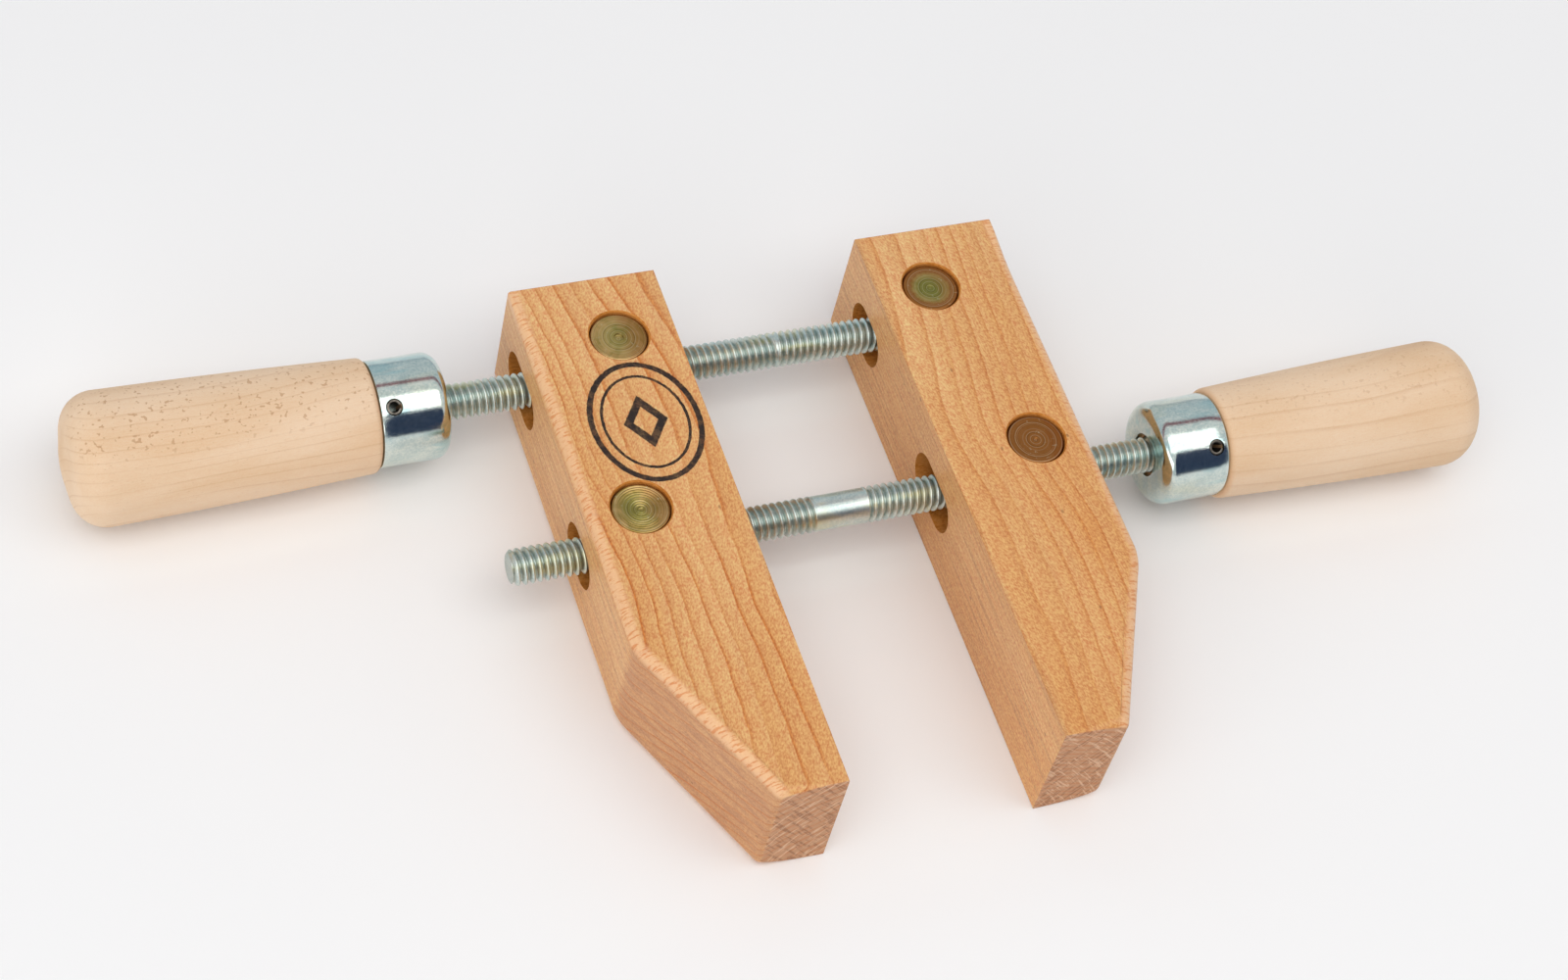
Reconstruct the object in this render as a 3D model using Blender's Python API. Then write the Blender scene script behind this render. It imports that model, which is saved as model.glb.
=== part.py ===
# Wooden hand screw clamp: two maple jaws, two double-ended screws and four swivel nuts.
#
# Frame: +X runs along the screws towards the middle screw's handle, +Y from the jaws' noses
# to their heels, +Z up. The origin is on the surface that the jaws lie on, midway between
# the jaws and midway along them. Everything is in metres.

import math

import bmesh
import bpy
from mathutils import Vector

# Jaws
JAW_LENGTH = 0.1524
JAW_WIDTH = 0.0382
JAW_DEPTH = 0.0338
JAW_GAP = 0.0545
NOSE_WIDTH = 0.0170
TAPER_LENGTH = 0.0452
TAPER_CORNER_RADIUS = 0.014
NOSE_CORNER_RADIUS = 0.0022
OUTER_EDGE_RADIUS = 0.0030

# Where the screws cross the jaws
HEEL_TO_END_SCREW = 0.0184
SCREW_SPACING = 0.0508
END_NUT_INSET = 0.0147
MIDDLE_NUT_INSET = 0.0246
MOST_SWIVEL = math.radians(12)
MOST_TOE = math.radians(6)

# Screws
SCREW_RADIUS = 0.0046
TIP_CHAMFER = 0.0008
END_SCREW_TIP = 0.0680
MIDDLE_SCREW_TIP = 0.0830
SCREW_IN_HANDLE = 0.0419

# Swivel nuts
NUT_RADIUS = 0.00715
NUT_RECESS = 0.0008
NUT_CHAMFER = 0.0005
SLOT_RADIUS = 0.0060

# Ferrules
FERRULE_FACE = 0.0863
FERRULE_LENGTH = 0.0177
FERRULE_RADIUS = 0.0134
FERRULE_WALL = 0.0012
FERRULE_SHOULDER = 0.0036
FERRULE_HOLE_CLEARANCE = 0.0009

# Handles
HANDLE_END = 0.1800
HANDLE_NECK_RADIUS = 0.0144
HANDLE_BUTT_RADIUS = 0.0166
HANDLE_BUTT_ROUND = 0.0085
HANDLE_NECK_ROUND = 0.0016
BUTT_CROWN = 0.0012

# Handle pins
PIN_RADIUS = 0.0019
PIN_BORE_RADIUS = 0.0011
PIN_SLOT_WIDTH = 0.0005
PIN_FROM_FACE = 0.0143
PIN_SHORT_OF_SKIN = 0.0002
END_PIN_TILT = math.radians(59)
MIDDLE_PIN_TILT = math.radians(52)

# Gaps between pieces that meet
FIT_GAP = 0.0003
NUT_GAP = 0.00035
SCREW_GAP = 0.0004

# Sides of the round shapes
SCREW_SIDES = 24
NUT_SIDES = 32
FERRULE_SIDES = 36
PIN_SIDES = 16
ARC_STEPS = 4
EDGE_STEPS = 3
SHARP_ANGLE = math.radians(35)

# Small distances
CUTTER_MARGIN = 0.001
LEAST_FLARE = 0.00005
LEAST_CREEP = 0.00001
MERGE_DISTANCE = 1e-7
LEVEL_TOLERANCE = 1e-6

AXIS_HEIGHT = JAW_DEPTH / 2
HEEL_Y = JAW_LENGTH / 2
END_SCREW_Y = HEEL_Y - HEEL_TO_END_SCREW
MIDDLE_SCREW_Y = END_SCREW_Y - SCREW_SPACING
# The middle nuts creep this far towards the heels, away from their screw, at the most toe.
MIDDLE_NUT_CREEP = (MIDDLE_NUT_INSET - END_NUT_INSET) * math.sin(MOST_TOE) + SCREW_SPACING * (
    1 - math.cos(MOST_TOE)
)


def clear_scene():
    for obj in list(bpy.data.objects):
        bpy.data.objects.remove(obj, do_unlink=True)


def make_material(name, colour, roughness, metallic):
    material = bpy.data.materials.new(name)
    material.use_nodes = True
    shader = material.node_tree.nodes["Principled BSDF"]
    shader.inputs["Base Color"].default_value = (*colour, 1)
    shader.inputs["Roughness"].default_value = roughness
    shader.inputs["Metallic"].default_value = metallic
    material.diffuse_color = (*colour, 1)
    return material


def make_empty(name, location):
    empty = bpy.data.objects.new(name, None)
    empty.location = location
    bpy.context.scene.collection.objects.link(empty)
    return empty


def add_object(name, bm, material=None, parent=None, location=(0, 0, 0), smooth=True):
    mesh = bpy.data.meshes.new(name)
    bmesh.ops.recalc_face_normals(bm, faces=bm.faces)
    bm.to_mesh(mesh)
    bm.free()
    if smooth:
        mesh.shade_smooth()
        mesh.set_sharp_from_angle(angle=SHARP_ANGLE)
    obj = bpy.data.objects.new(name, mesh)
    if material:
        mesh.materials.append(material)
    obj.parent = parent
    obj.location = location
    bpy.context.scene.collection.objects.link(obj)
    return obj


def cut(obj, cutter):
    """Takes the cutter's shape out of the object and keeps the cutter as a hidden guide."""
    cutter.hide_render = True
    cutter.display_type = "WIRE"
    boolean = obj.modifiers.new(cutter.name, "BOOLEAN")
    boolean.operation = "DIFFERENCE"
    boolean.object = cutter


def arc(centre, radius, start, end, steps=ARC_STEPS):
    """Points on an arc in a plane, from one angle to another, in radians."""
    angles = [start + (end - start) * step / steps for step in range(steps + 1)]
    return [(centre[0] + radius * math.cos(a), centre[1] + radius * math.sin(a)) for a in angles]


def rounded_corner(before, corner, after, radius):
    """The corner of an outline replaced by an arc that is tangent to both of its sides."""
    corner = Vector(corner)
    to_before = (Vector(before) - corner).normalized()
    to_after = (Vector(after) - corner).normalized()
    half_angle = to_before.angle(to_after) / 2
    reach = radius / math.tan(half_angle)
    centre = corner + (to_before + to_after).normalized() * radius / math.sin(half_angle)
    first = corner + to_before * reach - centre
    turn = first.angle_signed(corner + to_after * reach - centre)
    start = math.atan2(first.y, first.x)
    return arc(centre, radius, start, start - turn)


def extrude_outline(outline, low, high):
    """A closed prism over an outline in X and Y."""
    bm = bmesh.new()
    floor = bm.faces.new([bm.verts.new((x, y, low)) for x, y in outline])
    extruded = bmesh.ops.extrude_face_region(bm, geom=[floor])["geom"]
    bmesh.ops.translate(
        bm,
        vec=(0, 0, high - low),
        verts=[item for item in extruded if isinstance(item, bmesh.types.BMVert)],
    )
    return bm


def turn_profile(profile, sides):
    """A solid turned about X. The profile of (x, radius) ends on the axis or closes on itself."""
    bm = bmesh.new()
    verts = [bm.verts.new((x, 0, radius)) for x, radius in profile]
    edges = [bm.edges.new(pair) for pair in zip(verts, verts[1:])]
    if profile[0][1] > 0:
        edges.append(bm.edges.new((verts[-1], verts[0])))
    bmesh.ops.spin(
        bm,
        geom=verts + edges,
        cent=(0, 0, 0),
        axis=(1, 0, 0),
        angle=2 * math.pi,
        steps=sides,
        use_merge=True,
    )
    bmesh.ops.remove_doubles(bm, verts=bm.verts, dist=MERGE_DISTANCE)
    return bm


def upright(bm):
    """Turns a shape that was made along X so that it stands along Z."""
    for vert in bm.verts:
        vert.co = (-vert.co.z, vert.co.y, vert.co.x)
    return bm


def cylinder(radius, low, high, sides):
    """A plain cylinder along X."""
    return turn_profile([(low, 0), (low, radius), (high, radius), (high, 0)], sides)


def jaw_outline(side):
    """One jaw from above. Its clamping face lies on x = 0 and its body is on the given side."""
    taper_start = (side * JAW_WIDTH, HEEL_Y - JAW_LENGTH + TAPER_LENGTH)
    nose_outer = (side * NOSE_WIDTH, -HEEL_Y)
    heel_outer = (side * JAW_WIDTH, HEEL_Y)
    nose_inner = (0, -HEEL_Y)
    outline = [(0, HEEL_Y), heel_outer]
    outline += rounded_corner(heel_outer, taper_start, nose_outer, TAPER_CORNER_RADIUS)
    outline += rounded_corner(taper_start, nose_outer, nose_inner, NOSE_CORNER_RADIUS)
    outline.append(nose_inner)
    return outline


def round_outer_edges(bm):
    """Rounds the long outer edges, which run from the heel along the taper to the nose."""
    long_edges = []
    least_x = NOSE_WIDTH - NOSE_CORNER_RADIUS * 1.5
    for edge in bm.edges:
        level = abs(edge.verts[0].co.z - edge.verts[1].co.z) < LEVEL_TOLERANCE
        outside = all(abs(vert.co.x) > least_x for vert in edge.verts)
        if level and outside:
            long_edges.append(edge)
    bmesh.ops.bevel(
        bm,
        geom=long_edges,
        offset=OUTER_EDGE_RADIUS,
        offset_type="OFFSET",
        segments=EDGE_STEPS,
        profile=0.5,
        affect="EDGES",
        clamp_overlap=True,
    )


def swivel_slot(name, side, inset, parent):
    """The cutter for a screw's slot: round at the nut, and flared along Y to both jaw faces."""
    bm = bmesh.new()
    rings = []
    for depth in (-CUTTER_MARGIN, inset, JAW_WIDTH + CUTTER_MARGIN):
        flare = max(abs(depth - inset) * math.tan(MOST_SWIVEL), LEAST_FLARE)
        ring = []
        for centre, start in ((flare, -math.pi / 2), (-flare, math.pi / 2)):
            ring += arc((centre, 0), SLOT_RADIUS, start, start + math.pi, SCREW_SIDES // 2)
        rings.append([bm.verts.new((side * (depth - inset), y, z)) for y, z in ring])
    for ring, following in zip(rings, rings[1:]):
        for index in range(len(ring)):
            after = (index + 1) % len(ring)
            bm.faces.new((ring[index], ring[after], following[after], following[index]))
    bm.faces.new(rings[0])
    bm.faces.new(rings[-1])
    return add_object(name, bm, parent=parent, smooth=False)


def nut_hole(name, parent):
    depth = JAW_DEPTH / 2 + CUTTER_MARGIN
    bm = upright(cylinder(NUT_RADIUS + NUT_GAP, -depth, depth, NUT_SIDES))
    return add_object(name, bm, parent=parent, smooth=False)


def make_jaw(name, side, material, end_pivot, middle_pivot):
    """A jaw with two nut holes and two flared screw slots."""
    bm = extrude_outline(jaw_outline(side), 0, JAW_DEPTH)
    round_outer_edges(bm)
    jaw = add_object(name, bm, material, location=(side * JAW_GAP / 2, 0, 0))
    for place, pivot, inset in (
        ("end", end_pivot, END_NUT_INSET),
        ("middle", middle_pivot, MIDDLE_NUT_INSET),
    ):
        cut(jaw, nut_hole(f"{name}_{place}_nut_hole", pivot))
        cut(jaw, swivel_slot(f"{name}_{place}_slot", side, inset, pivot))
    return jaw


def nut_bore(name, creep, parent):
    """The cutter for a nut's cross hole, drawn out towards the nose by the nut's creep."""
    radius = SCREW_RADIUS + SCREW_GAP
    reach = NUT_RADIUS + 2 * CUTTER_MARGIN
    ring = arc((0, 0), radius, -math.pi / 2, math.pi / 2, SCREW_SIDES // 2)
    far_end = (-creep - LEAST_CREEP, 0)
    ring += arc(far_end, radius, math.pi / 2, 3 * math.pi / 2, SCREW_SIDES // 2)
    bm = extrude_outline(ring, -reach, reach)
    for vert in bm.verts:
        vert.co = (vert.co.z, vert.co.x, vert.co.y)
    return add_object(name, bm, parent=parent, smooth=False)


def make_nut(name, creep, material, pivot):
    """A barrel nut that stands in the jaw, with its screw passing through it."""
    half = JAW_DEPTH / 2 - NUT_RECESS
    rim = NUT_RADIUS - NUT_CHAMFER
    profile = [
        (-half, 0),
        (-half, rim),
        (-half + NUT_CHAMFER, NUT_RADIUS),
        (half - NUT_CHAMFER, NUT_RADIUS),
        (half, rim),
        (half, 0),
    ]
    nut = add_object(name, upright(turn_profile(profile, NUT_SIDES)), material, pivot)
    cut(nut, nut_bore(f"{name}_bore", creep, pivot))
    return nut


def pin_hole(name, radius, tilt, parent):
    """The cutter for a cross hole where the handle's pin passes."""
    bm = upright(cylinder(radius, -HANDLE_BUTT_RADIUS, HANDLE_BUTT_RADIUS, PIN_SIDES))
    hole = add_object(name, bm, parent=parent, smooth=False)
    hole.location = (FERRULE_FACE + PIN_FROM_FACE, 0, 0)
    hole.rotation_euler = (tilt, 0, 0)
    return hole


def make_spindle(name, tip, material, axis):
    """The steel screw: its tip is on -X, and its other end is buried in the handle."""
    buried = FERRULE_FACE + SCREW_IN_HANDLE
    profile = [
        (-tip, 0),
        (-tip, SCREW_RADIUS - TIP_CHAMFER),
        (-tip + TIP_CHAMFER, SCREW_RADIUS),
        (buried - TIP_CHAMFER, SCREW_RADIUS),
        (buried, SCREW_RADIUS - TIP_CHAMFER),
        (buried, 0),
    ]
    return add_object(name, turn_profile(profile, SCREW_SIDES), material, axis)


def make_ferrule(name, material, axis):
    """The drawn steel cup that holds the handle's neck."""
    back = FERRULE_FACE + FERRULE_LENGTH
    inside = FERRULE_RADIUS - FERRULE_WALL
    hole = SCREW_RADIUS + FERRULE_HOLE_CLEARANCE
    outer_centre = (FERRULE_FACE + FERRULE_SHOULDER, FERRULE_RADIUS - FERRULE_SHOULDER)
    inner_radius = FERRULE_SHOULDER - FERRULE_WALL
    profile = [(FERRULE_FACE, hole)]
    profile += arc(outer_centre, FERRULE_SHOULDER, math.pi, math.pi / 2)
    profile += [(back, FERRULE_RADIUS), (back, inside)]
    profile += arc(outer_centre, inner_radius, math.pi / 2, math.pi)
    profile.append((FERRULE_FACE + FERRULE_WALL, hole))
    return add_object(name, turn_profile(profile, FERRULE_SIDES), material, axis)


def handle_profile():
    """The turned handle from the front of its neck, round the butt, and back down its blind bore."""
    neck_front = FERRULE_FACE + FERRULE_WALL + FIT_GAP
    neck_radius = FERRULE_RADIUS - FERRULE_WALL - FIT_GAP
    neck_corner = FERRULE_SHOULDER - FERRULE_WALL
    shoulder = FERRULE_FACE + FERRULE_LENGTH + FIT_GAP
    bore = SCREW_RADIUS + SCREW_GAP
    bore_end = FERRULE_FACE + SCREW_IN_HANDLE + FIT_GAP
    butt_x = HANDLE_END - BUTT_CROWN - HANDLE_BUTT_ROUND
    butt_centre = (butt_x, HANDLE_BUTT_RADIUS - HANDLE_BUTT_ROUND)
    shoulder_centre = (shoulder + HANDLE_NECK_ROUND, HANDLE_NECK_RADIUS - HANDLE_NECK_ROUND)
    profile = [(neck_front, bore), (neck_front, neck_radius - neck_corner)]
    profile += [(neck_front + neck_corner, neck_radius), (shoulder, neck_radius)]
    profile += arc(shoulder_centre, HANDLE_NECK_ROUND, math.pi, math.pi / 2)
    profile += arc(butt_centre, HANDLE_BUTT_ROUND, math.pi / 2, 0)
    halfway = 0.55                     # across the butt, where its crown has fallen by the square
    crown_x = HANDLE_END - BUTT_CROWN * halfway**2
    profile += [(crown_x, butt_centre[1] * halfway), (HANDLE_END, 0)]
    return profile, [(bore_end, 0), (bore_end, bore)]


def make_handle(name, material, axis):
    outside, bore = handle_profile()
    profile = bore + outside
    return add_object(name, turn_profile(profile, FERRULE_SIDES), material, axis)


def make_pin(name, tilt, material, axis):
    """A slotted spring pin: a rolled tube with an open seam."""
    half = FERRULE_RADIUS - PIN_SHORT_OF_SKIN
    seam = math.asin(PIN_SLOT_WIDTH / 2 / PIN_RADIUS)
    ring = arc((0, 0), PIN_RADIUS, seam, 2 * math.pi - seam, PIN_SIDES)
    ring += arc((0, 0), PIN_BORE_RADIUS, 2 * math.pi - seam, seam, PIN_SIDES)
    pin = add_object(name, extrude_outline(ring, -half, half), material, axis)
    pin.location = (FERRULE_FACE + PIN_FROM_FACE, 0, 0)
    pin.rotation_euler = (tilt, 0, 0)
    return pin


def make_screw(place, tip, tilt, materials, axis):
    """A screw with its handle on +X of the given empty, and the ferrule and pin that hold it."""
    spindle = make_spindle(f"{place}_spindle", tip, materials["zinc"], axis)
    ferrule = make_ferrule(f"{place}_ferrule", materials["zinc"], axis)
    handle = make_handle(f"{place}_handle", materials["handle"], axis)
    make_pin(f"{place}_handle_pin", tilt, materials["pin"], axis)
    for piece in (spindle, ferrule, handle):
        cut(piece, pin_hole(f"{piece.name}_pin_hole", PIN_RADIUS + FIT_GAP, tilt, axis))


def main():
    clear_scene()
    materials = {
        "jaw": make_material("lacquered maple", (0.66, 0.40, 0.20), 0.42, 0),
        "handle": make_material("bare maple", (0.78, 0.62, 0.44), 0.62, 0),
        "zinc": make_material("bright zinc", (0.66, 0.70, 0.73), 0.28, 1),
        "nut": make_material("yellow zinc", (0.38, 0.34, 0.16), 0.38, 1),
        "pin": make_material("oiled spring steel", (0.20, 0.19, 0.18), 0.40, 1),
    }
    for side_name, side in (("left", -1), ("right", 1)):
        end_x = side * (JAW_GAP / 2 + END_NUT_INSET)
        middle_x = side * (JAW_GAP / 2 + MIDDLE_NUT_INSET)
        end_pivot = make_empty(f"{side_name}_end_pivot", (end_x, END_SCREW_Y, AXIS_HEIGHT))
        middle_pivot = make_empty(
            f"{side_name}_middle_pivot", (middle_x, MIDDLE_SCREW_Y, AXIS_HEIGHT)
        )
        make_jaw(f"{side_name}_jaw", side, materials["jaw"], end_pivot, middle_pivot)
        make_nut(f"{side_name}_end_nut", 0, materials["nut"], end_pivot)
        make_nut(f"{side_name}_middle_nut", MIDDLE_NUT_CREEP, materials["nut"], middle_pivot)
    end_axis = make_empty("end_screw_axis", (0, END_SCREW_Y, AXIS_HEIGHT))
    end_axis.rotation_euler = (0, 0, math.pi)
    middle_axis = make_empty("middle_screw_axis", (0, MIDDLE_SCREW_Y, AXIS_HEIGHT))
    make_screw("end", END_SCREW_TIP, math.pi / 2 + END_PIN_TILT, materials, end_axis)
    make_screw("middle", MIDDLE_SCREW_TIP, math.pi / 2 - MIDDLE_PIN_TILT, materials, middle_axis)


main()
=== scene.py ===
import math

import bmesh
import bpy
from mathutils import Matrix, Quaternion, Vector


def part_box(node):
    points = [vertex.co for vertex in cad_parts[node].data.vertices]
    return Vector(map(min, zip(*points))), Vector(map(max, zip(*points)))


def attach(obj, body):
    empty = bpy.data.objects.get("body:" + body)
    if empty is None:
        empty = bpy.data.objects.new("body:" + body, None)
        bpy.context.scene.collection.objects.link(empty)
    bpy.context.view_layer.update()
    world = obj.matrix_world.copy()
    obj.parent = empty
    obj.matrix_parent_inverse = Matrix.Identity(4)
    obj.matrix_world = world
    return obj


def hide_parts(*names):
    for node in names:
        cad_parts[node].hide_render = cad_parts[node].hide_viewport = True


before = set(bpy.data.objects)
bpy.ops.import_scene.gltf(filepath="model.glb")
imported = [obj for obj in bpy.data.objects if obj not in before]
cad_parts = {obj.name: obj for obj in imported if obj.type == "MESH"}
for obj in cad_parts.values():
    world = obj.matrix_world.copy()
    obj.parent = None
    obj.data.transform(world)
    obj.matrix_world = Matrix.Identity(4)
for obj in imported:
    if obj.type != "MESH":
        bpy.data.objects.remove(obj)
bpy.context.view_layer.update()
tiny = 1e-6                            # nearness for picking and merging, in metres


# Working in edit mode

def deselectAll():
    if bpy.context.object and bpy.context.object.mode == "EDIT":
        bpy.ops.object.mode_set(mode="OBJECT")
    bpy.ops.object.select_all(action="DESELECT")


def takeUp(piece):
    deselectAll()
    piece.select_set(True)
    bpy.context.view_layer.objects.active = piece


def openUp(piece):                     # edit mode, with nothing selected
    takeUp(piece)
    bpy.ops.object.mode_set(mode="EDIT")
    bpy.ops.mesh.select_mode(type="VERT")
    bpy.ops.mesh.select_all(action="DESELECT")


def pick(kind, test):
    bpy.ops.mesh.select_mode(type=kind)
    bpy.ops.mesh.select_all(action="DESELECT")
    mesh = bpy.context.object.data
    editMesh = bmesh.from_edit_mesh(mesh)
    parts = {"VERT": editMesh.verts, "EDGE": editMesh.edges, "FACE": editMesh.faces}[kind]
    for part in parts:
        if test(part):
            part.select_set(True)
    editMesh.select_flush_mode()
    bmesh.update_edit_mesh(mesh)


def closeUp():                         # cleans the mesh and leaves edit mode
    bpy.ops.mesh.select_all(action="SELECT")
    bpy.ops.mesh.remove_doubles(threshold=tiny)
    bpy.ops.mesh.dissolve_degenerate(threshold=tiny / 10)
    bpy.ops.mesh.normals_make_consistent(inside=False)
    bpy.ops.object.mode_set(mode="OBJECT")


def settle(piece):                     # puts the piece's place into its mesh
    takeUp(piece)
    bpy.ops.object.transform_apply(location=True, rotation=True, scale=True)
    return piece


def modify(piece, kind, **settings):
    takeUp(piece)
    modifier = piece.modifiers.new(kind.title(), kind)
    for key, value in settings.items():
        setattr(modifier, key, value)
    bpy.ops.object.modifier_apply(modifier=modifier.name)


def cutAway(piece, cutter):
    modify(piece, "BOOLEAN", operation="DIFFERENCE", object=cutter, material_mode="TRANSFER")
    bpy.data.objects.remove(cutter)


def coat(piece, material):
    piece.data.materials.clear()
    piece.data.materials.append(material)


def softShade(piece, degrees=32):
    takeUp(piece)
    bpy.ops.object.shade_smooth_by_angle(angle=math.radians(degrees))


def middleOf(node):
    low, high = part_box(node)
    return (low + high) / 2


def spanOf(node):                      # how far out along X it starts and ends, and its radius
    low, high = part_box(node)
    start, end = sorted((abs(low.x), abs(high.x)))
    return start, end, (high.z - low.z) / 2


def roundBar(name, radius, length, centre, sides, turn=(0, 0, 0)):
    bpy.ops.mesh.primitive_cylinder_add(
        vertices=sides, radius=radius, depth=length, location=centre, rotation=turn
    )
    bar = bpy.context.object
    bar.name = name
    return settle(bar)


alongX = (0, math.pi / 2, 0)


def arcStations(centreX, centreRadius, radius, start, end, steps):
    stations = []
    for step in range(steps + 1):
        angle = math.radians(start + (end - start) * step / steps)
        along = centreX + radius * math.cos(angle)
        stations.append((along, centreRadius + radius * math.sin(angle)))
    return stations


def turnedBar(name, stations, out, axis, sides):
    # stations of (distance along X, radius), as on a lathe
    firstX, firstRadius = stations[0]
    bpy.ops.mesh.primitive_circle_add(
        vertices=sides,
        radius=firstRadius,
        fill_type="NGON",
        location=(out * firstX, axis.y, axis.z),
        rotation=alongX,
    )
    bar = settle(bpy.context.object)
    bar.name = name
    openUp(bar)
    bpy.ops.mesh.select_all(action="SELECT")
    for (beforeX, beforeRadius), (nextX, nextRadius) in zip(stations, stations[1:]):
        step = out * (nextX - beforeX)
        factor = nextRadius / beforeRadius
        bpy.ops.mesh.extrude_region_move(TRANSFORM_OT_translate={"value": (step, 0, 0)})
        bpy.ops.transform.resize(value=(1, factor, factor), center_override=(0, axis.y, axis.z))
    closeUp()
    return bar


# Writing materials

class Wire:
    # One output socket. Sums on it add Math nodes.
    def __init__(self, recipe, socket):
        self.recipe = recipe
        self.socket = socket

    def calc(self, operation, *values):
        return self.recipe.add("ShaderNodeMath", {"operation": operation}, dict(enumerate(values)))

    def __add__(self, other):
        return self.calc("ADD", self, other)

    def __sub__(self, other):
        return self.calc("SUBTRACT", self, other)

    def __mul__(self, other):
        return self.calc("MULTIPLY", self, other)

    def __truediv__(self, other):
        return self.calc("DIVIDE", self, other)

    def __pow__(self, other):
        return self.calc("POWER", self, other)

    def __radd__(self, other):
        return self.calc("ADD", other, self)

    def __rsub__(self, other):
        return self.calc("SUBTRACT", other, self)

    def __rmul__(self, other):
        return self.calc("MULTIPLY", other, self)

    def __abs__(self):
        return self.calc("ABSOLUTE", self)

    def least(self, other):
        return self.calc("MINIMUM", self, other)

    def most(self, other):
        return self.calc("MAXIMUM", self, other)

    def part(self):                    # what is left over past the whole number
        return self.calc("FRACT", self)

    def fade(self, low, high):         # 0 below low, 1 above high, and smooth between
        settings = {"interpolation_type": "SMOOTHSTEP"}
        return self.recipe.add("ShaderNodeMapRange", settings, {0: self, 1: low, 2: high})


class Recipe:
    # The nodes of one material, or of the world.
    def __init__(self, tree):
        self.tree = tree

    def add(self, kind, settings=None, sockets=None, out=0):
        node = self.tree.nodes.new(kind)
        for key, value in (settings or {}).items():
            if key == "stops":
                self.setStops(node.color_ramp, value)
            else:
                setattr(node, key, value)
        for key, value in (sockets or {}).items():
            self.feed(node.inputs[key], value)
        return Wire(self, node.outputs[out])

    def feed(self, socket, value):
        if isinstance(value, Wire):
            self.tree.links.new(value.socket, socket)
        else:
            socket.default_value = value

    def setStops(self, ramp, stops):
        while len(ramp.elements) < len(stops):
            ramp.elements.new(1)
        for element, (position, colour) in zip(ramp.elements, stops):
            element.position = position
            element.color = colour

    def millimetres(self):
        place = self.add("ShaderNodeTexCoord", out=3)
        scaled = self.add("ShaderNodeVectorMath", {"operation": "SCALE"}, {0: place, 3: 1000})
        return self.split(scaled)

    def split(self, vector):
        parts = self.add("ShaderNodeSeparateXYZ", {}, {0: vector})
        node = parts.socket.node
        return [Wire(self, output) for output in node.outputs]

    def noise(self, spot, detail=2, roughness=0.5, distortion=0):
        vector = self.add("ShaderNodeCombineXYZ", {}, dict(enumerate(spot)))
        sockets = {
            "Vector": vector, "Scale": 1, "Detail": detail,
            "Roughness": roughness, "Distortion": distortion,
        }
        return self.add("ShaderNodeTexNoise", {}, sockets)

    def specks(self, spot):            # distance to the nearest of many scattered points
        vector = self.add("ShaderNodeCombineXYZ", {}, dict(enumerate(spot)))
        return self.add("ShaderNodeTexVoronoi", {}, {"Vector": vector, "Scale": 1})

    def blend(self, share, first, second, how="MIX"):
        settings = {"data_type": "RGBA", "blend_type": how}
        return self.add("ShaderNodeMix", settings, {0: share, 6: first, 7: second}, out=2)

    def ramp(self, share, stops):
        return self.add("ShaderNodeValToRGB", {"stops": stops}, {0: share})

    def bump(self, height, distance, strength=1):
        sockets = {"Strength": strength, "Distance": distance, "Height": height}
        return self.add("ShaderNodeBump", {}, sockets)


def newMaterial(name, **sockets):
    material = bpy.data.materials.new(name)
    material.use_nodes = True
    shader = material.node_tree.nodes["Principled BSDF"]
    for key, value in sockets.items():
        shader.inputs[key.replace("_", " ")].default_value = value
    return material, Recipe(material.node_tree), shader


def tint(red, green, blue):            # a colour as a paint chart gives it, 0 to 255, made linear
    linear = []
    for value in (red, green, blue):
        share = value / 255
        linear.append(share / 12.92 if share <= 0.04045 else ((share + 0.055) / 1.055) ** 2.4)
    return (*linear, 1)


# Lacquered maple of the jaws

jawPlan = {
    "noseWidth": 0.0170,
    "taperLength": 0.0452,
    "taperRound": 0.014,
    "noseRound": 0.0022,
    "outerRound": 0.0030,
    "arris": 0.00022,                  # how much the sharp edges are broken
    "holeGap": 0.00035,
    "slotHeight": 0.0120,
    "slotSwing": math.radians(12),
    "rimBreak": 0.00035,
    "holeSides": 96,
    "roundStarts": 0.0008,             # the long edges' round at the heel, before it grows
    "roundGrows": 0.020,               # how far from the heel it is full
    "roundSteps": 8,
    "cornerNear": 0.0005,              # how near an upright edge lies to the corner it is picked by
    "taperCuts": 10,
    "noseCuts": 5,
    "outerCuts": 7,
    "slotSides": 48,
}
jawLooks = {                           # millimetres, the pith as (across from the inner face, z)
    "left": {
        "ringGap": 2.25, "pith": (-34, -66), "lean": -0.05, "lines": 1.0, "wobble": 1.0,
        "patches": [], "shift": 3.0, "warm": 0.12,
    },
    "right": {
        "ringGap": 1.75, "pith": (-30, -70), "lean": 0.02, "lines": 0.55, "wobble": 0.45,
        "patches": [(29.5, 9.0), (28.0, -25.0)], "shift": 41.0, "warm": 0.38,
    },
}
jawTones = {
    "early": tint(232, 181, 124),
    "late": tint(218, 158, 96),
    "line": tint(194, 106, 32),
    "tan": tint(214, 144, 76),
    "streak": tint(186, 132, 84),
    # painted shade for the tapered face
    "taperShade": tint(184, 128, 88),
    "edge": tint(243, 196, 150),
    "dash": tint(218, 128, 64),
    "pore": tint(140, 88, 44),
    "endGrain": tint(198, 148, 110),
    "scratch": tint(150, 98, 64),
    "polish": tint(232, 194, 160),
    "char": tint(36, 21, 14),
    "scorch": tint(186, 118, 62),
}
jawSpeckle = [(0.36, (0.26, 0.20, 0.13, 1)), (0.64, (0.77, 0.80, 0.82, 1))]
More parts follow.
